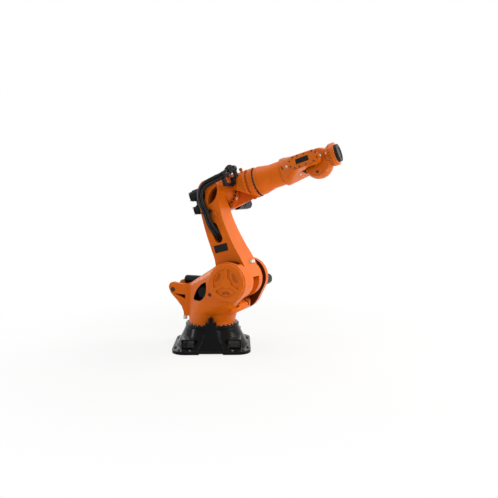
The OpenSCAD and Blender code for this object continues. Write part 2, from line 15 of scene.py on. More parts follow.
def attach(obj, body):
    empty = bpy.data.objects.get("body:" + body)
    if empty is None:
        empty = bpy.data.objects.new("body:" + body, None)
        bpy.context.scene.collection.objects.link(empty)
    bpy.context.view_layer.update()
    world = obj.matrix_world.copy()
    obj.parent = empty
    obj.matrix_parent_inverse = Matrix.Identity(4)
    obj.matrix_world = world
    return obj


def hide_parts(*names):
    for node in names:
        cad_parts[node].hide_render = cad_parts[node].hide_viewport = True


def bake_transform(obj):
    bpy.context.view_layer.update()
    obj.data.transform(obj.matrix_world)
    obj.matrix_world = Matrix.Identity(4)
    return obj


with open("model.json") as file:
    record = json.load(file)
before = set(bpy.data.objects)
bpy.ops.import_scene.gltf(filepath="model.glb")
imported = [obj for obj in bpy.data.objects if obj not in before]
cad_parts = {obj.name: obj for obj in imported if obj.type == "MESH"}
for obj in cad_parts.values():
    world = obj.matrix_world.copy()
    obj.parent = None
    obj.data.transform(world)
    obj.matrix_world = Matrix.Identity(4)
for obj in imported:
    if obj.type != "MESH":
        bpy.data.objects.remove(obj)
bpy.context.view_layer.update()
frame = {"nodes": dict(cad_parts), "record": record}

# %% [markdown]
# The arm stands in a working pose, so each moving body has its own tilted frame. Writing those
# frames once, with the same sizes as the CAD source, lets every added piece be placed in plain
# numbers of the body that carries it: forward, across and up, in metres.

# %% Frames of the moving bodies
TURN, LEAN, PITCH, ROLL = (math.radians(a) for a in (-24, 15, 18, -9))
SHOULDER = (0.5, 0, 1.045)
LINK_LENGTH, ARM_LENGTH, ARM_DROP, TOOL_LENGTH = 1.3, 1.525, 0.055, 0.29

shift = Matrix.Translation
base = Matrix.Identity(4)
column = Matrix.Rotation(TURN, 4, "Z")
link = column @ shift(SHOULDER) @ Matrix.Rotation(-LEAN, 4, "Y")
arm = link @ shift((0, 0, LINK_LENGTH)) @ Matrix.Rotation(LEAN - PITCH, 4, "Y")
wrist = arm @ shift((0, 0, -ARM_DROP)) @ Matrix.Rotation(ROLL, 4, "X")
swivel = wrist @ shift((ARM_LENGTH, 0, 0))


def facing(place, point, direction, spin=0.0):
    """A frame at a point of a body, with its Z along a direction of that body."""
    turn = Vector(direction).to_track_quat("Z", "Y").to_matrix().to_4x4()
    return place @ shift(point) @ turn @ Matrix.Rotation(spin, 4, "Z")


print("tool flange at", [round(c, 3) for c in swivel @ Vector((TOOL_LENGTH, 0, 0))])

# %% [markdown]
# The camera has the photograph's own point of view: about nine metres away, at about the height of
# the elbow, looking down by five degrees. It could be placed by eye. It was worked out from the foot
# plate, the shoulder, the link arm and the arm in the picture instead, so that a render can be laid
# over the photograph.

# %% Camera
CAMERA_AT = (0.384, -8.852, 2.249)
AZIMUTH, ELEVATION = math.radians(-1.054), math.radians(5.18)
SENSOR_MM, PICTURE_PX, FOCAL_PX = 36, 498, 601

bpy.ops.object.camera_add(location=CAMERA_AT)
camera = bpy.context.object
back = Vector((math.sin(AZIMUTH) * math.cos(ELEVATION), -math.cos(AZIMUTH) * math.cos(ELEVATION),
               math.sin(ELEVATION)))
camera.rotation_euler = (-back).to_track_quat("-Z", "Y").to_euler()
camera.data.sensor_width = SENSOR_MM
camera.data.lens = FOCAL_PX / PICTURE_PX * SENSOR_MM
camera.data.clip_end = 100
bpy.context.scene.camera = camera
print("camera", round(camera.data.lens, 1), "mm")

# %% [markdown]
# Finishes are networks of small nodes, which could be wired by hand in the node editor. Writing them
# as sums keeps them readable: a wire stands for the output of a node, and adding or multiplying
# wires adds the Math node that does it.

# %% A class for shader sums
class Wire:
    """An output socket. Sums of wires add Math nodes; node() adds any other node."""

    def __init__(self, tree, socket):
        self.tree, self.socket = tree, socket

    def node(self, kind, settings=None, inputs=None, output=0):
        made = self.tree.nodes.new(kind)
        for key, value in (settings or {}).items():
            setattr(made, key, value)
        for key, value in (inputs or {}).items():
            if isinstance(value, Wire):
                self.tree.links.new(value.socket, made.inputs[key])
            else:
                made.inputs[key].default_value = value
        return Wire(self.tree, made.outputs[output])

    def math(self, operation, a, b):
        return self.node("ShaderNodeMath", {"operation": operation}, {0: a, 1: b})

    def __add__(self, other): return self.math("ADD", self, other)
    def __radd__(self, other): return self.math("ADD", other, self)
    def __sub__(self, other): return self.math("SUBTRACT", self, other)
    def __rsub__(self, other): return self.math("SUBTRACT", other, self)
    def __mul__(self, other): return self.math("MULTIPLY", self, other)
    def __rmul__(self, other): return self.math("MULTIPLY", other, self)

    def between(self, low, high):
        """0 below low, 1 above high, and smooth in between."""
        return self.node("ShaderNodeMapRange", {"interpolation_type": "SMOOTHSTEP"},
                         {"Value": self, "From Min": low, "From Max": high})

    def blend(self, first, second):
        """The first colour where this wire is 0, the second where it is 1."""
        return self.node("ShaderNodeMix", {"data_type": "RGBA"},
                         {0: self, 6: first, 7: second}, 2)


def new_finish(name):
    """A material, its surface shader, and the wire of the object's own coordinates."""
    material = bpy.data.materials.new(name)
    material.use_nodes = True
    tree = material.node_tree
    place = Wire(tree, tree.nodes.new("ShaderNodeTexCoord").outputs["Object"])
    return material, tree.nodes["Principled BSDF"], place


def feed(shader, **values):
    """Sets or links a shader's sockets; an underscore in a name stands for a space."""
    for key, value in values.items():
        socket = shader.inputs[key.replace("_", " ")]
        if isinstance(value, Wire):
            value.tree.links.new(value.socket, socket)
        else:
            socket.default_value = value


def rays(tree, *kinds):
    """A wire that is 1 for the named kinds of ray and 0 for the rest."""
    path = tree.nodes.new("ShaderNodeLightPath")
    seen = Wire(tree, path.outputs[kinds[0]])
    for kind in kinds[1:]:
        seen = seen + Wire(tree, path.outputs[kind])
    return seen


# %% [markdown]
# A white studio: one wide floor and six soft lamps. The faces of the arm that look right are the
# palest in the photograph, so the strongest lamp stands to the right. A wide lamp in front lights
# the near faces evenly, one on the left draws the upright glints on the black base, one behind it
# catches the round rims, one lies on the floor and lights the undersides, as a white studio floor
# does, and one hangs overhead. The world only fills the shadows. For camera rays and reflections
# the world is white, and so is the floor but for a little shade near the arm, so that the paint has
# something clean to mirror. One bright world could light it all, but lamps can be set one at a time
# until each side of the arm is right.

# %% Floor
WHITE = (1, 1, 1, 1)
FLOOR_SIZE, FLOOR_Z = 80, -0.001
SHADE, SHADE_REACH, WHITE_REACH = 0.2, 1.2, 4.5
bpy.ops.object.select_all(action="DESELECT")
bpy.ops.mesh.primitive_plane_add(size=FLOOR_SIZE, location=(0, 0, FLOOR_Z))
floor = bpy.context.object
floor.name = "studio_floor"
pale, pale_shader, spot = new_finish("pale_floor")
feed(pale_shader, Base_Color=(0.86, 0.86, 0.855, 1), Roughness=0.75, Specular_IOR_Level=0.2)
tree = pale.node_tree
seen = rays(tree, "Is Camera Ray", "Is Glossy Ray")
glow = seen.node("ShaderNodeEmission", {}, {"Color": WHITE, "Strength": 1.0})
lit = Wire(tree, pale_shader.outputs[0])
reach = spot.node("ShaderNodeVectorMath", {"operation": "LENGTH"}, {0: spot}, "Value")
white_share = seen * (reach.between(SHADE_REACH, WHITE_REACH) * SHADE + (1 - SHADE))
surface = seen.node("ShaderNodeMixShader", {}, {0: white_share, 1: lit, 2: glow})
tree.links.new(surface.socket, tree.nodes["Material Output"].inputs["Surface"])
floor.data.materials.append(pale)
print("floor:", pale.name)

# %% Lamps and world
MIDDLE, UNDERSIDES = (0.5, -0.2, 1.4), (0.9, -0.2, 1.9)
PLAIN, WARM = (1, 1, 1), (1, 0.97, 0.82)
FILL = 0.24
LAMPS = [  # name, place, target, width and height, watts, colour
    ("lamp_right", (6.0, 0.6, 4.6), MIDDLE, (3.0, 3.6), 260, WARM),
    ("lamp_front", (2.6, -6.8, 4.4), MIDDLE, (3.6, 2.6), 118, PLAIN),
    ("lamp_left", (-5.6, -0.6, 2.8), MIDDLE, (0.6, 3.4), 90, PLAIN),
    ("lamp_rim", (-4.2, 3.4, 2.6), MIDDLE, (1.2, 3.0), 60, PLAIN),
    ("lamp_low", (4.2, -1.7, 0.05), UNDERSIDES, (2.2, 2.2), 90, PLAIN),
    ("lamp_top", (0.3, -0.6, 6.5), MIDDLE, (5.0, 4.0), 110, PLAIN),
]
for name, place, target, (width, height), watts, colour in LAMPS:
    bpy.ops.object.light_add(type="AREA", location=place)
    lamp = bpy.context.object
    lamp.name = name
    lamp.data.shape, lamp.data.size, lamp.data.size_y = "RECTANGLE", width, height
    lamp.data.energy, lamp.data.color = watts, colour
    lamp.rotation_euler = (Vector(target) - Vector(place)).to_track_quat("-Z", "Y").to_euler()
    lamp.visible_camera = name != "lamp_low"

world = bpy.context.scene.world or bpy.data.worlds.new("studio")
bpy.context.scene.world = world
world.use_nodes = True
tree = world.node_tree
sky = tree.nodes["Background"]
sky.inputs["Color"].default_value = WHITE
seen = rays(tree, "Is Camera Ray", "Is Glossy Ray", "Is Transmission Ray")
level = seen.between(0, 1) * (1 - FILL) + FILL
tree.links.new(level.socket, sky.inputs["Strength"])
bpy.context.scene.view_settings.view_transform = "Standard"
print("stage:", len(LAMPS), "lamps, white world")

# %% [markdown]
# ## Finishes
# The castings wear a semi-gloss orange. Real paint on a casting isn't flat: it has a faint
# orange-peel ripple, its tone drifts a little over a large face, and the sharp edges are rubbed.
# Wear could be painted on by hand, edge after edge. Here it comes from comparing the true surface
# direction with one that is rounded over a few millimetres: where the two differ, there is an edge.
# The rounded direction also softens the edges in the light, as a casting's own small radii do.

# %% Edges and ripple shared by the finishes
FEW_RAYS = {"samples": 6}


def normal_of(place):
    return place.node("ShaderNodeNewGeometry", {}, {}, "Normal")


def edge_of(place, radius):
    """How much of an edge a spot is, 0 to 1, and the surface direction rounded over that edge."""
    rounded = place.node("ShaderNodeBevel", FEW_RAYS, {"Radius": radius})
    agree = place.node("ShaderNodeVectorMath", {"operation": "DOT_PRODUCT"},
                       {0: rounded, 1: normal_of(place)}, "Value")
    return (1 - agree).between(0.01, 0.16), rounded


def noise(place, scale, detail):
    return place.node("ShaderNodeTexNoise", {}, {"Vector": place, "Scale": scale, "Detail": detail,
                                                 "Roughness": 0.55}, "Fac")


def ripple(height, depth, rounded, strength=0.35):
    return height.node("ShaderNodeBump", {}, {"Strength": strength, "Distance": depth,
                                              "Height": height, "Normal": rounded})


# %% One coat of paint
DRIFTS, SPECKS, DUSTINGS, PEEL = 2.2, 55.0, 18.0, 420.0  # noise scales, waves in a metre
DUST = (0.20, 0.19, 0.175, 1)


def painted(name, tones, gloss, peel, sheen, dust, edge_radius=0.007, shade_amount=1.0, depth=0.14,
            shade_at=None):
    """Paint on a casting: tone drift, orange peel, rubbed edges, and painted shade in hollows."""
    material, shader, place = new_finish(name)
    fresh, faded, worn, hollow = tones
    edge, rounded = edge_of(place, edge_radius)
    drift = noise(place, DRIFTS, 4.0).between(0.3, 0.7)
    specks = noise(place, SPECKS, 2.0)
    rubbed = edge * specks.between(0.38, 0.62) * 0.5
    # Painted shade: where the AO node finds little open sky, the colour turns to the hollow tone.
    open_sky = place.node("ShaderNodeAmbientOcclusion", FEW_RAYS, {"Distance": depth}, "AO")
    hollow_shade = (1 - open_sky).between(0.25, 0.95) * (0.7 + specks * 0.25) * shade_amount
    tone = hollow_shade.blend(rubbed.blend(drift.blend(fresh, faded), worn), hollow)
    upward = place.node("ShaderNodeSeparateXYZ", {}, {"Vector": normal_of(place)}, 2)
    settled = upward.between(0.7, 0.95) * noise(place, DUSTINGS, 5.0).between(0.25, 0.7) * dust
    tone = settled.blend(tone, DUST)
    # Painted shade where a coat has it, such as in the column's window.
    for mask, shade_colour in (shade_at(place) if shade_at else ()):
        tone = mask.blend(tone, shade_colour)
    feed(shader, Base_Color=tone, Specular_IOR_Level=sheen,
         Roughness=gloss + drift * 0.06 + specks * 0.05 + rubbed * 0.2 + hollow_shade * 0.2,
         Normal=ripple(noise(place, PEEL, 1.0), peel, rounded))
    return material


# %% [markdown]
# Each coat has four tones: fresh, faded, rubbed off at the edges, and a painted shade for hollows.
# The base is a deep gloss black, the motors are satin, and the wrist is the glossiest orange, made a
# little darker as a painted shade. The screws and small plugs in dark orange carry a painted shade
# all over. On small forms, such as the cover's slots and the screws, edges and the painted shade in
# hollows are finer. Each coat could be a network of its own. One function makes them all, so that
# they age in the same way.

# %% The coats
# The fourth tone of each coat is the colour of its painted shade in hollows.
ORANGE = ((0.77, 0.150, 0.004, 1), (0.70, 0.130, 0.003, 1),
          (0.86, 0.29, 0.05, 1), (0.10, 0.014, 0.001, 1))
# The wrist's orange is a little darker than the rest: a painted shade on the wrist.
WRIST = ((0.69, 0.138, 0.004, 1), (0.62, 0.118, 0.003, 1),
         (0.84, 0.28, 0.06, 1), (0.07, 0.010, 0.001, 1))
# Orange in shade: screws and small plugs in this coat carry a painted shade all over.
SHADED_ORANGE = ((0.13, 0.018, 0.002, 1), (0.09, 0.013, 0.002, 1),
        (0.26, 0.07, 0.012, 1), (0.02, 0.004, 0.001, 1))
BLACK = ((0.0025, 0.0025, 0.0028, 1), (0.004, 0.004, 0.0042, 1),
         (0.014, 0.0138, 0.0132, 1), (0.001, 0.001, 0.001, 1))
orange = painted("orange_coat", ORANGE, gloss=0.26, peel=0.0003, sheen=0.15, dust=0.06)
gloss_black = painted("gloss_black_coat", BLACK, gloss=0.10, peel=0.0001, sheen=0.09, dust=0.22,
                      edge_radius=0.02)
wrist_orange = painted("wrist_coat", WRIST, gloss=0.08, peel=0.0001, sheen=0.17, dust=0.04,
                       edge_radius=0.02)
# The cover gets a stronger painted shade in its small hollows, the arm flange a weaker one.
cover_orange = painted("cover_coat", ORANGE, gloss=0.24, peel=0.0002, sheen=0.16, dust=0.03,
                       edge_radius=0.004, shade_amount=1.2, depth=0.035)
flange_orange = painted("flange_coat", ORANGE, gloss=0.22, peel=0.0002, sheen=0.16, dust=0.03,
                        edge_radius=0.004, shade_amount=0.4)
motor_black = painted("satin_black_coat", BLACK, gloss=0.3, peel=0.0004, sheen=0.14, dust=0.15,
                      edge_radius=0.005)
# Painted shade: the darkened orange of screws and small plugs.
shaded_screw_paint = painted("screw_shade_coat", SHADED_ORANGE, gloss=0.3, peel=0.0002, sheen=0.2, dust=0.0,
                      edge_radius=0.002)
print("painted finishes:", orange.name, gloss_black.name, motor_black.name)

# %% [markdown]
# The column is hollow, and behind its leaf-shaped window everything looks black. The solid has a
# plain pocket there, and the shade in it is painted. Its faces could be given a second material, but
# the edge of the shade isn't an edge of the solid, so the painted shade begins a little way in. Its
# edge is written as a sum in the column's own directions: how far a spot lies behind the curved
# outer face, and how far it is from the line that joins the leaf's two tips. The inner face of the
# far cheek, where the gear turns, lies in the drum's shade, and gets a painted shade too.

# %% Painted shade in the column
# Near black for the painted shade in the window, dark orange for the painted shade on the cheek.
WINDOW_SHADE, CHEEK_SHADE = (0.005, 0.0045, 0.004, 1), (0.09, 0.014, 0.002, 1)


def shade_in_column(place):
    """Where the column gets a painted shade, and the colour of that shade."""
    turned = place.node("ShaderNodeMapping", {}, {"Vector": place, "Rotation": (0, 0, -TURN)})
    split = turned.node("ShaderNodeSeparateXYZ", {}, {"Vector": turned})
    x, y, z = (Wire(split.tree, split.socket.node.outputs[k]) for k in range(3))
    behind_face = y + x * 0.52 - x * x * 0.6 + 0.425
    off_line = z * 0.719 - x * 0.695 - 0.632
    window = (behind_face.between(0.03, 0.04) * (0 - y).between(0.2, 0.21)
              * off_line.between(-0.14, -0.137) * (0 - off_line).between(-0.062, -0.059))
    cheek = y.between(0.168, 0.172) * (0 - y).between(-0.19, -0.185) * x.between(0.2, 0.24)
    return (window, WINDOW_SHADE), (cheek, CHEEK_SHADE)


# The column's coat, with painted shade in its window and on the far cheek's inner face.
column_orange = painted("column_coat", ORANGE, gloss=0.26, peel=0.0003, sheen=0.12, dust=0.06,
                        shade_at=shade_in_column)
print("column paint:", column_orange.name)

# %% [markdown]
# Bare metal has no coat: it is metallic all over, with fine turning marks or a blasted grain that
# shows in the roughness, and darker oil in places. Turning marks could be drawn as rings round each
# axis. From where the camera stands no mark can be told from another, so one noise does for all.

# %% Bare metals
FINE_EDGE, OIL_SPOTS = 0.003, 9.0


def bare_metal(name, colour, dark, rough, grain):
    material, shader, place = new_finish(name)
    edge, rounded = edge_of(place, FINE_EDGE)
    marks = noise(place, grain, 2.0)
    oil = noise(place, OIL_SPOTS, 4.0).between(0.45, 0.75)
    feed(shader, Base_Color=(oil * 0.7).blend(colour, dark), Metallic=1.0,
         Roughness=rough + marks * 0.16 - edge * 0.08,
         Normal=ripple(marks, 0.0003, rounded, 0.25))
    return material


dark_metal = bare_metal("oiled_iron", (0.055, 0.05, 0.046, 1), (0.025, 0.021, 0.018, 1),
                        rough=0.42, grain=150.0)
bright_steel = bare_metal("turned_steel", (0.55, 0.55, 0.54, 1), (0.34, 0.33, 0.31, 1),
                          rough=0.24, grain=260.0)
ring_steel = bare_metal("hardened_ring", (0.085, 0.085, 0.088, 1), (0.04, 0.038, 0.036, 1),
                        rough=0.2, grain=260.0)
honed_steel = bare_metal("honed_cylinder", (0.13, 0.132, 0.138, 1), (0.06, 0.06, 0.062, 1),
                         rough=0.24, grain=120.0)
zinc = bare_metal("zinc_plate", (0.62, 0.61, 0.58, 1), (0.40, 0.38, 0.34, 1),
                  rough=0.30, grain=320.0)
print("metals:", dark_metal.name, bright_steel.name, ring_steel.name, honed_steel.name, zinc.name)

# %% [markdown]
# Moulded plastic, rubber, enamel and blackened steel show no bare metal and hardly any gloss, but a
# fine grain and a dusty bloom, which also lies along the edges. Each could be made by itself, but the
# same two noises do for all: only the colours, the gloss and the grain differ.

# %% Plastic, rubber, enamel and blackened steel
BLOOM = 14.0


def moulded(name, colour, dusty, rough, grain, depth, sheen=0.2):
    material, shader, place = new_finish(name)
    edge, rounded = edge_of(place, FINE_EDGE)
    dust = noise(place, BLOOM, 5.0).between(0.4, 0.75)
    feed(shader, Base_Color=(dust * 0.5 + edge * 0.4).blend(colour, dusty),
         Roughness=rough + dust * 0.12, Specular_IOR_Level=sheen,
         Normal=ripple(noise(place, grain, 2.0), depth, rounded))
    return material


buffer_white = moulded("white_nylon", (0.78, 0.77, 0.73, 1), (0.62, 0.59, 0.53, 1),
                       rough=0.48, grain=300.0, depth=0.0004)
hose_fitting = moulded("black_nylon", (0.006, 0.006, 0.0065, 1), (0.02, 0.02, 0.02, 1),
                       rough=0.36, grain=380.0, depth=0.0004)
hose_rubber = moulded("hose_jacket", (0.005, 0.005, 0.0055, 1), (0.016, 0.016, 0.016, 1),
                      rough=0.34, grain=240.0, depth=0.0004)
flange_black = moulded("blackened_steel", (0.012, 0.0122, 0.013, 1), (0.035, 0.035, 0.036, 1),
                       rough=0.42, grain=200.0, depth=0.0003, sheen=0.12)
plate_black = moulded("plate_enamel", (0.006, 0.006, 0.0065, 1), (0.018, 0.018, 0.018, 1),
                      rough=0.34, grain=200.0, depth=0.0002, sheen=0.15)
print("moulded finishes:", buffer_white.name, hose_fitting.name, hose_rubber.name)

# %% [markdown]
# Every solid has a material slot in the CAD record, and each slot has a finish. A few solids have a
# finish of their own, because the real ones are turned, honed or painted in another way. They could
# be set by hand, but a loop over the record misses none.

# %% Give every solid its finish
finish_of = {"orange_paint": orange, "black_paint": gloss_black, "motor_black": motor_black,
             "dark_metal": dark_metal, "bright_steel": bright_steel, "flange_black": flange_black,
             "buffer_white": buffer_white, "hose_fitting": hose_fitting,
             "hose_rubber": hose_rubber}
own_finish = {"column_casting": column_orange, "seal_ring": ring_steel,
              "arm_flange": flange_orange, "shoulder_cover": cover_orange,
              "balance_cylinder": honed_steel, "wrist_casting": wrist_orange,
              "wrist_cover_near": wrist_orange, "wrist_cover_far": wrist_orange,
              "swivel_casting": wrist_orange, "spin_housing": wrist_orange}
slot_of = {finish.name: slot for slot, finish in finish_of.items()}
slot_of.update({flange_orange.name: "orange_paint", shaded_screw_paint.name: "orange_paint",
                plate_black.name: "motor_black", ring_steel.name: "bright_steel",
                zinc.name: "bright_steel"})
for sub in frame["record"]["subparts"]:
    skins = frame["nodes"][sub["node"]].data.materials
    skins.clear()
    skins.append(own_finish.get(sub["node"], finish_of[sub["material_slot"]]))

# %% [markdown]
# ## Screws
# The flanges are held by rows of socket screws. One screw is modelled from a short cylinder: its top
# is inset and pushed down for the key socket and its rim is rounded. An array could lay out a row,
# but it can't leave out the screws for which there is no room. So each row is made of copies of that
# screw, joined into one piece that rides on the body it is screwed to.

# %% Tools for selecting
def clear_selection():
    if bpy.context.mode != "OBJECT":
        bpy.ops.object.mode_set(mode="OBJECT")
    bpy.ops.object.select_all(action="DESELECT")


def take(*pieces):
    """Selects only these pieces; the first is the active one."""
    clear_selection()
    for piece in pieces:
        piece.select_set(True)
    bpy.context.view_layer.objects.active = pieces[0]


def pick(piece, test, kind="FACE"):
    """Selects the faces or edges whose middle and direction pass a test; stays in edit mode."""
    bpy.ops.object.mode_set(mode="EDIT")
    bpy.ops.mesh.select_mode(type=kind)
    bpy.ops.mesh.select_all(action="DESELECT")
    bpy.ops.object.mode_set(mode="OBJECT")
    mesh = piece.data
    if kind == "FACE":
        for face in mesh.polygons:
            face.select = test(face.center, face.normal)
    else:
        for edge in mesh.edges:
            a, b = (mesh.vertices[v].co for v in edge.vertices)
            edge.select = test((a + b) / 2, (b - a).normalized())
    bpy.ops.object.mode_set(mode="EDIT")


def is_top(middle, normal):
    return normal.z > 0.9


# %% Tools for shaping
def cylinder(sides, radius, height, middle):
    """A cylinder round an upright axis, with its place in its mesh."""
    clear_selection()
    bpy.ops.mesh.primitive_cylinder_add(vertices=sides, radius=radius, depth=height,
                                        location=middle)
    bpy.ops.object.transform_apply(location=True)
    return bpy.context.object


def block(sizes, middle):
    """A block with its place and size in its mesh."""
    clear_selection()
    bpy.ops.mesh.primitive_cube_add(size=1, location=middle)
    bpy.context.object.scale = sizes
    bpy.ops.object.transform_apply(location=True, scale=True)
    return bpy.context.object


def extrude(x, y, z):
    bpy.ops.mesh.extrude_region_move(TRANSFORM_OT_translate={"value": (x, y, z)})


def step_top(piece, insets, rise):
    """Insets a piece's top, once for each width, and moves the field that is left up or down."""
    pick(piece, is_top)
    for width in insets:
        bpy.ops.mesh.inset(thickness=width)
    extrude(0, 0, rise)
    bpy.ops.object.mode_set(mode="OBJECT")


def bevel_edges(piece, test, offset, segments):
    pick(piece, test, "EDGE")
    bpy.ops.mesh.bevel(offset=offset, segments=segments)
    bpy.ops.object.mode_set(mode="OBJECT")


# %% Tools for finished pieces
models = []


def copies(model, frames):
    """Copies of a model at the given frames, each with its own mesh, joined into one object."""
    if model not in models:
        models.append(model)
    made = []
    for place in frames:
        copy = model.copy()
        copy.data = model.data.copy()
        bpy.context.collection.objects.link(copy)
        copy.matrix_world = place
        made.append(copy)
    take(*made)
    bpy.ops.object.transform_apply(location=True, rotation=True, scale=True)
    if len(made) > 1:
        bpy.ops.object.join()
    return bpy.context.object


def placed(piece, place):
    piece.matrix_world = place
    return piece


def dress(piece, name, finish, angle):
    """Names a piece, gives it its finish and smoothness, and puts its place into its mesh."""
    take(piece)
    bpy.ops.object.transform_apply(location=True, rotation=True, scale=True)
    bpy.ops.object.shade_smooth_by_angle(angle=math.radians(angle))
    piece.name = piece.data.name = name
    piece.data.materials.clear()
    piece.data.materials.append(finish)


def settle(piece, name, finish, body, angle=35):
    """Dresses a piece and lets it ride on a body."""
    dress(piece, name, finish, angle)
    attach(piece, body)


# %% Screws of six sizes
def socket_screw(radius, height):
    """A socket screw's head standing on Z = 0."""
    screw = cylinder(18, radius, height, (0, 0, height / 2))
    step_top(screw, (radius * 0.16, radius * 0.30), -height * 0.55)
    bevel_edges(screw, lambda c, d: c.z > height * 0.98 and c.xy.length > radius * 0.9,
                radius * 0.12, 2)
    return screw


flat, low, small = (socket_screw(r, h) for r, h in ((0.007, 0.004), (0.010, 0.005), (0.008, 0.008)))
medium, large, floor_screw = (socket_screw(r, h) for r, h in ((0.011, 0.012), (0.014, 0.015),
                                                              (0.019, 0.020)))
print("screw heads with", len(medium.data.polygons), "faces")

# %% Places in rings
def turns_of(count, start=0.0):
    return [start + 2 * math.pi * k / count for k in range(count)]


def ring(place, centre, axis, across, radius, count, start=0.0):
    """Frames on a circle round an axis of a body, each looking along that axis."""
    axis, across = Vector(axis), Vector(across)
    up = axis.cross(across)
    return [facing(place, Vector(centre) + radius * (math.cos(t) * across + math.sin(t) * up),
                   axis, t) for t in turns_of(count, start)]


FOLD_TOP, FOLD_SIDE = -0.19, 0.06
to_arm = arm.inverted()


def clear_of_fold(place):
    """Whether a spot lies outside the room into which the link arm folds."""
    spot = to_arm @ place.translation
    return spot.z > FOLD_TOP or spot.y > FOLD_SIDE


X, Y, Z, NEAR, BOTH = (1, 0, 0), (0, 1, 0), (0, 0, 1), (0, -1, 0), (-1, 1)
FLANGE_AT, HOUSING_AT, HOUSING_R, PLATE_TOP = 0.47, 0.176, 0.1492, 0.045
FLOOR_HOLES = ((0.46, 0.46), (0.30, 0.525), (0.525, 0.30))
on_flange = [place for place in ring(arm, (FLANGE_AT, 0, -ARM_DROP), X, Y, 0.206, 28)
             if clear_of_fold(place)]
on_floor = [facing(base, (a * x, b * y, PLATE_TOP), Z)
            for a in BOTH for b in BOTH for x, y in FLOOR_HOLES]
on_housing = [facing(swivel, (HOUSING_AT, HOUSING_R * math.cos(t), HOUSING_R * math.sin(t)),
                     (0, math.cos(t), math.sin(t))) for t in turns_of(24)]
print("places:", len(on_flange), "flange,", len(on_floor), "floor,", len(on_housing), "housing")

# %% Rows of screws
RING_TOP, HUB_FACE, SEAL_AT = 0.365, -0.022, 0.576
ROWS = [  # name, screw, places, finish, body
    ("slew_ring_screws", small, ring(base, (0, 0, RING_TOP), Z, X, 0.366, 32), bright_steel, "base"),
    ("arm_flange_screws", medium, on_flange, flange_orange, "arm"),
    ("floor_screws", floor_screw, on_floor, ring_steel, "base"),
    ("elbow_hub_screws", large, ring(arm, (0, HUB_FACE, 0), NEAR, X, 0.2365, 28, 0.06),
     shaded_screw_paint, "arm"),
    ("seal_ring_screws", small, ring(arm, (SEAL_AT, 0, -ARM_DROP), X, Y, 0.202, 24),
     dark_metal, "arm"),
    ("spin_housing_screws", flat, on_housing, shaded_screw_paint, "swivel"),
]
for name, screw, places, finish, body in ROWS:
    settle(copies(screw, places), name, finish, body)
    print(name, len(places))

# %% [markdown]
# The wrist's two drives are closed by long covers. Each cover is held by a row of screws that follows
# its outline, so their places come from the outline's own form: two arcs and two straight runs, set
# in from the rim. For even steps the outline's length would have to be measured first. Listed turns
# on the arcs and steps on the runs take less.

# %% Wrist cover screws
COVER_ENDS = ((1.252, 0.074), (1.505, 0.069))
COVER_FACE = 0.264
REAR_TURNS, FRONT_TURNS, RUN_STEPS = (100, 150, 210, 260), (80, 30, -30, -80), (0.22, 0.6)


def on_arc(x, radius, degrees):
    return [(x + radius * math.cos(math.radians(a)), radius * math.sin(math.radians(a)))
            for a in degrees]


def cover_spots():
    (x0, r0), (x1, r1) = COVER_ENDS
    runs = [(x0 + (x1 - x0) * share, side * (r0 + (r1 - r0) * share))
            for share in RUN_STEPS for side in (1, -1)]
    return on_arc(x0, r0, REAR_TURNS) + on_arc(x1, r1, FRONT_TURNS) + runs


for name, side in (("near_cover_screws", -1), ("far_cover_screws", 1)):
    places = [facing(wrist, (x, side * COVER_FACE, z), (0, side, 0)) for x, z in cover_spots()]
    settle(copies(low, places), name, shaded_screw_paint, "forearm")
    print(name, len(places))

# %% [markdown]
# ## Plugs, buffers and plates
# Threaded holes that aren't used are closed with plugs. A plug is a short cylinder with a soft rim
# and a dimple, and a buffer is a longer one. The plates are thin sheets with round corners and a low
# rim round an empty field. All of them could be drawn as outlines and given a thickness. Starting
# from a cylinder or a block and insetting its top takes fewer steps.

# %% Plugs and buffers of the castings
LINK_FACE, DOWN = -0.36, (0, 0, -1)
frame_of = {"column": column, "link_arm": link, "arm": arm, "forearm": wrist, "swivel": swivel}


def plug(radius, height):
    """A round cap standing on Z = 0, with a rounded rim and a dimple in its top."""
    cap = cylinder(28, radius, height, (0, 0, height / 2))
    step_top(cap, (radius * 0.45,), -height * 0.3)
    bevel_edges(cap, lambda c, d: c.z > height * 0.98 and c.xy.length > radius * 0.9,
                min(radius, height) * 0.3, 3)
    return cap


PLUGS = [  # name, radius and height, body, points with their directions, finish
    ("wrist_plugs", (0.016, 0.011), "forearm",
     [((1.125, -0.231, -0.011), (-0.47, -0.88, -0.04)), ((1.595, -0.194, -0.003), (1, 0, -0.07)),
      ((1.233, -0.043, -0.114), (0.41, 0, -0.91))], buffer_white),
    ("spin_housing_plug", (0.011, 0.007), "swivel",
     [((0.136, -0.132, 0.011), (-0.42, -0.9, 0.1))], buffer_white),
    ("dome_plug", (0.016, 0.006), "swivel", [((-0.043, -0.098, -0.179), NEAR)], shaded_screw_paint),
    ("column_plug", (0.026, 0.010), "column",
     [((0.229, -0.539, 0.860), (-0.31, -0.93, -0.19))], shaded_screw_paint),
    ("bracket_buffer", (0.030, 0.056), "column", [((-0.367, -0.165, 0.46), DOWN)], buffer_white),
    ("arm_plug", (0.022, 0.014), "arm", [((0.19, -0.004, -0.17), NEAR)], buffer_white),
    ("link_plug", (0.030, 0.022), "link_arm", [((-0.018, LINK_FACE, 0.977), NEAR)], orange),
]
for name, size, body, spots, finish in PLUGS:
    settle(copies(plug(*size), [facing(frame_of[body], *spot) for spot in spots]),
           name, finish, body)
print("plugs and buffers:", len(PLUGS), "pieces")

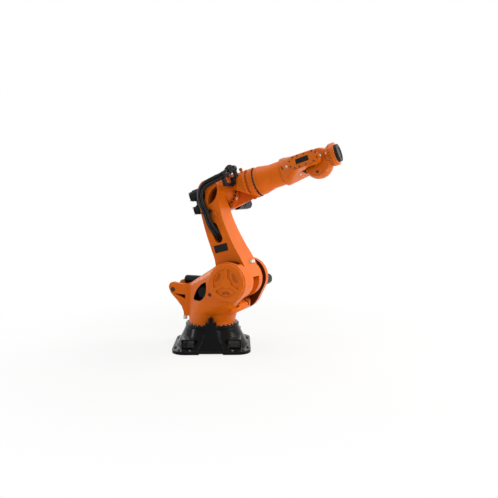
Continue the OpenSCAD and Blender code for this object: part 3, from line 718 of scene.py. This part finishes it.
# %% Bare plates
def bare_plate(width, depth, thick, corner):
    """A thin plate on Z = 0 with round corners and a low rim round an empty field."""
    plate = block((width, depth, thick), (0, 0, thick / 2))
    bevel_edges(plate, lambda c, d: abs(d.z) > 0.9, corner, 5)
    step_top(plate, (corner * 0.5,), -thick * 0.3)
    return plate


PLATES = [  # name, width, depth, thickness and corner, body, point, spin
    ("link_plate", (0.205, 0.105, 0.004, 0.006), "link_arm", (-0.055, LINK_FACE, 0.487), 0),
    ("wrist_plate", (0.182, 0.068, 0.004, 0.005), "forearm", (1.362, -COVER_FACE, 0), 0),
    ("wrist_vent", (0.013, 0.046, 0.003, 0.003), "forearm", (1.042, -0.1945, 0.008), 0.2),
]
for name, size, body, point, spin in PLATES:
    settle(placed(bare_plate(*size), facing(frame_of[body], point, NEAR, spin)),
           name, plate_black, body)
print("plates:", ", ".join(row[0] for row in PLATES))

# %% [markdown]
# The slot in the near bracket looks dark in the photograph, so a dark sheet lies behind it here as a
# painted shade. It is one plate whose lower rear corner is cut back, so that it stays behind the
# bracket's own outline. Moving that end's lower edges is quicker than drawing the outline point by
# point.

# %% Sheet of painted shade behind the bracket's slot
SHEET_AT, SHEET_Y, CUT_BACK = (-0.441, 0, 0.743), -0.1265, 0.062
SHEET_REAR, SHEET_LOW = -0.53, 0.71

sheet = placed(bare_plate(0.21, 0.094, 0.003, 0.004),
               shift(SHEET_AT) @ Matrix.Rotation(math.pi / 2, 4, "X"))
take(sheet)
bpy.ops.object.transform_apply(location=True, rotation=True, scale=True)
pick(sheet, lambda c, d: c.x < SHEET_REAR and c.z < SHEET_LOW, "EDGE")
bpy.ops.transform.translate(value=(CUT_BACK, 0, 0))
bpy.ops.object.mode_set(mode="OBJECT")
# The dark sheet is a painted shade inside the slot.
settle(placed(sheet, column @ shift((0, SHEET_Y, 0))), "bracket_shade_sheet", plate_black, "column")
print("sheet behind the bracket's slot")

# %% [markdown]
# ## Hoses
# Two black hoses run from the link arm round the elbow to the arm. They could be simulated as cords.
# But they are held at both ends and in the middle, so they can't hang freely: their route is fixed,
# and it repeats the route of the CAD solids that they replace. A smooth curve through a few points
# is given a round section, and made a mesh.

# %% The hoses' route
HOSE_R, HOSE_GAP, CLIP = 0.025, 0.0003, 0.02
HOSE_Y = LINK_FACE - CLIP - HOSE_R - HOSE_GAP
ROUTE = [  # forward, up and inward in mm, and the direction from one hose to the other
    (-60, 640, 112, 1, 0.2), (-75, 720, 52, 1, 0.2), (-98, 800, 8, 1, 0.2),
    (-118, 900, 0, 1, 0.15), (-133, 1030, 0, 1, 0.15), (-160, 1140, 0, 1, 0.1),
    (-158, 1250, 0, 1, -0.15), (-115, 1345, 0, 0.7, -0.7), (-20, 1405, 0, 0.3, -0.95),
    (90, 1428, 0, 0.1, -1), (190, 1441, 0, 0.1, -1), (262, 1458, 20, 0.2, -1),
    (305, 1494, 84, 0.3, -1), (322, 1532, 150, 0.4, -0.9), (322, 1532, 206, 0.4, -0.9)]
STOPS = [Vector((x, z, inward, 1000 * across, 1000 * up)) / 1000
         for x, z, inward, across, up in ROUTE]
LAST = len(STOPS) - 1
NEARBY = 0.005  # the share of the route, to each side, over which its direction is taken


def between_stops(share):
    """A point of the smooth curve through the stops."""
    k = min(int(share * LAST), LAST - 1)
    f = share * LAST - k
    a, b, c, d = STOPS[max(k - 1, 0)], STOPS[k], STOPS[k + 1], STOPS[min(k + 2, LAST)]
    return 0.5 * (2 * b + (c - a) * f + (2 * a - 5 * b + 4 * c - d) * f ** 2
                  + (3 * b - a - 3 * c + d) * f ** 3)


def run_at(share):
    stop = between_stops(share)
    return Vector((stop[0], HOSE_Y + stop[2], stop[1]))


def hose_point(share, side):
    """A point of one hose in the link arm's frame, and the hose's direction there."""
    stop = between_stops(share)
    along = (run_at(min(share + NEARBY, 1)) - run_at(max(share - NEARBY, 0))).normalized()
    beside = Vector((stop[3], 0, stop[4]))
    beside = (beside - beside.dot(along) * along).normalized()
    return run_at(share) + side * (HOSE_R + HOSE_GAP / 2) * beside, along


print("hose route with", len(STOPS), "stops")

# %% Two hoses
HOSE_STEPS, HOSE_PINCH, FULL, TUBE_ANGLE = 260, 0.965, 0.995, 60
BEND_START, BEND_END = Vector((-0.15, HOSE_Y, 1.18)), Vector((0.20, HOSE_Y, 1.441))


def tube_along(name, points, radius, pinch):
    """A round tube along points, with shallow rings where every second section is pinched in."""
    line = bpy.data.curves.new(name, "CURVE")
    line.dimensions, line.use_fill_caps = "3D", True
    line.bevel_depth, line.bevel_resolution = radius, 5
    spline = line.splines.new("POLY")
    spline.points.add(len(points) - 1)
    for k, (stop, point) in enumerate(zip(spline.points, points)):
        stop.co, stop.radius = (*point, 1), FULL if k % 2 else pinch
    made = bpy.data.objects.new(name, line)
    bpy.context.collection.objects.link(made)
    take(made)
    bpy.ops.object.convert(target="MESH")
    return bpy.context.object


for name, side, node in (("hose_outer_tube", -1, "hose_outer"), ("hose_inner_tube", 1, "hose_inner")):
    points = [link @ hose_point(k / HOSE_STEPS, side)[0] for k in range(HOSE_STEPS + 1)]
    tube = tube_along(name, points, HOSE_R, HOSE_PINCH)
    dress(tube, name, hose_rubber, TUBE_ANGLE)
    tuple(link @ BEND_START)
    tuple(link @ BEND_END)
    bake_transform(tube)
    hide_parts(node)
    length = sum((b - a).length for a, b in zip(points, points[1:]))
    print(name, round(length, 3), "m long,", len(tube.data.polygons), "faces")

# %% [markdown]
# Bands hold the hoses to their brackets, and a ribbed boot guards each upper end. A band is a short
# ring with soft edges and a lug for its screw; a boot is a thicker length of ribbed tube round the
# hose. They could be placed by hand. Taking their places from the hose's own route sets them on it
# exactly.

# %% Bands and boots on the hoses
LOW_BAND, HIGH_BAND = 4 / LAST, 10.9 / LAST
BOOT_START, BOOT_STEPS, BOOT_PINCH = 0.86, 40, 0.9
BAND_R, BAND_WIDTH, BOOT_R = HOSE_R * 1.14, 0.022, HOSE_R * 1.42


def hose_band(radius, width):
    made = cylinder(32, radius, width, (0, 0, 0))
    pick(made, lambda c, n: n.y < -0.97)
    extrude(0, -radius * 0.35, 0)
    bevel_edges(made, lambda c, d: abs(abs(c.z) - width / 2) < 1e-5, width * 0.12, 2)
    return made


def on_hose(share, side):
    """A frame on a hose, with its Z along the hose and its -Y to the near side."""
    point, along = hose_point(share, side)
    out = Vector(NEAR)
    out = (out - out.dot(along) * along).normalized()
    turn = Matrix((along.cross(out), -out, along)).transposed()
    return link @ shift(point) @ turn.to_4x4()


band = hose_band(BAND_R, BAND_WIDTH)
for name, share, body in (("low_hose_bands", LOW_BAND, "link_arm"),
                          ("high_hose_bands", HIGH_BAND, "arm")):
    settle(copies(band, [on_hose(share, side) for side in BOTH]), name, hose_fitting, body)
for name, side in (("outer_hose_boot", -1), ("inner_hose_boot", 1)):
    shares = [BOOT_START + (1 - BOOT_START) * k / BOOT_STEPS for k in range(BOOT_STEPS + 1)]
    boot = tube_along(name, [link @ hose_point(s, side)[0] for s in shares], BOOT_R, BOOT_PINCH)
    settle(boot, name, hose_fitting, "arm", TUBE_ANGLE)
print("bands and boots on the hoses")

# %% [markdown]
# ## Motors
# Each of the five drive motors here ends in four screws, and connectors stand on the sides of three
# of them: a block with rounded edges, and on it a collar where the plug screws in. A connector could
# be cut from one block, but two joined shapes are simpler, and one model serves for all. On the far
# cheek's outer face, which the photograph doesn't show, a round lid and screws close the shoulder's
# bearing.

# %% Lid and screws of the far cheek
FAR_CHEEK, LID_R, LID_HEIGHT = 0.277, 0.105, 0.012
MOTOR_FOOT, MOTOR_ROOM = (0.69, FAR_CHEEK, 0.985), 0.11


def round_lid(radius, height):
    """A round lid on Z = 0 with a raised middle and a soft rim."""
    lid = cylinder(56, radius, height, (0, 0, height / 2))
    step_top(lid, (radius * 0.34,), height * 0.6)
    bevel_edges(lid, lambda c, d: c.z > height * 0.98 and abs(d.z) < 0.1, height * 0.2, 2)
    return lid


bearing = Vector((SHOULDER[0], FAR_CHEEK, SHOULDER[2]))
settle(copies(round_lid(LID_R, LID_HEIGHT), [facing(column, bearing, Y)]), "far_cheek_lid", orange,
       "column")
far_screws = ring(column, bearing + Vector((0, LID_HEIGHT, 0)), Y, X, 0.088, 10)
far_screws += [place for place in ring(column, bearing, Y, X, 0.252, 20)
               if (place.translation - column @ Vector(MOTOR_FOOT)).length > MOTOR_ROOM]
settle(copies(medium, far_screws), "far_cheek_screws", shaded_screw_paint, "column")
print("far cheek:", len(far_screws), "screws")

# %% One connector
def connector(width, height):
    body = block((width * 1.25, width, height * 0.5), (0, 0, height * 0.25))
    bevel_edges(body, lambda c, d: True, width * 0.08, 2)
    collar = cylinder(24, width * 0.42, height * 0.5, (-width * 0.1, 0, height * 0.7))
    step_top(collar, (width * 0.07,), height * 0.12)
    take(body, collar)
    bpy.ops.object.join()
    return bpy.context.object


top_plug = connector(0.040, 0.038)
print("connector with", len(top_plug.data.polygons), "faces")

# %% Connectors and end screws of the motors
SIDE_MOTORS = [("shoulder", "column", (0.69, 0.487, 0.985)), ("elbow", "arm", (0.08, 0.606, -0.232))]
REAR_MOTORS = [(0.125, 0.088, 0.168), (0.125, -0.128, 0.146), (0.286, -0.02, 0.146)]  # y, z, width
REAR_END, REARWARD = -0.565, (-1, 0, 0)
SIDE_TOP, SIDE_INSET, SIDE_PITCH = 0.075, 0.055, 0.05
REAR_TOP, REAR_INSET, REAR_PITCH = 0.073, 0.06, 0.33

for name, body, (x, y, z) in SIDE_MOTORS:
    place = frame_of[body]
    settle(copies(top_plug, [facing(place, (x, y - SIDE_INSET, z + SIDE_TOP), Z)]),
           name + "_motor_connector", motor_black, body)
    settle(copies(medium, [facing(place, (x + a * SIDE_PITCH, y, z + b * SIDE_PITCH), Y)
                           for a in BOTH for b in BOTH]), name + "_motor_screws", zinc, body)
x, (y, z) = REAR_END + REAR_INSET, REAR_MOTORS[-1][:2]
settle(copies(top_plug, [facing(arm, (x, y + REAR_TOP, z), Y, math.pi),
                         facing(arm, (x, y, z - REAR_TOP), DOWN)]),
       "motor_connectors", motor_black, "arm")
ends = [facing(arm, (REAR_END, y + a * w * REAR_PITCH, z + b * w * REAR_PITCH), REARWARD)
        for y, z, w in REAR_MOTORS for a in BOTH for b in BOTH]
settle(copies(medium, ends), "motor_end_screws", zinc, "arm")
print("connectors and", len(ends), "end screws")

# %% [markdown]
# The models that the copies were made from aren't part of the arm, so they are removed. Only the near
# wrist cover's screws stand a little way out of the CAD solids' box.

# %% Remove the models and finish
for model in models:
    bpy.data.objects.remove(model)
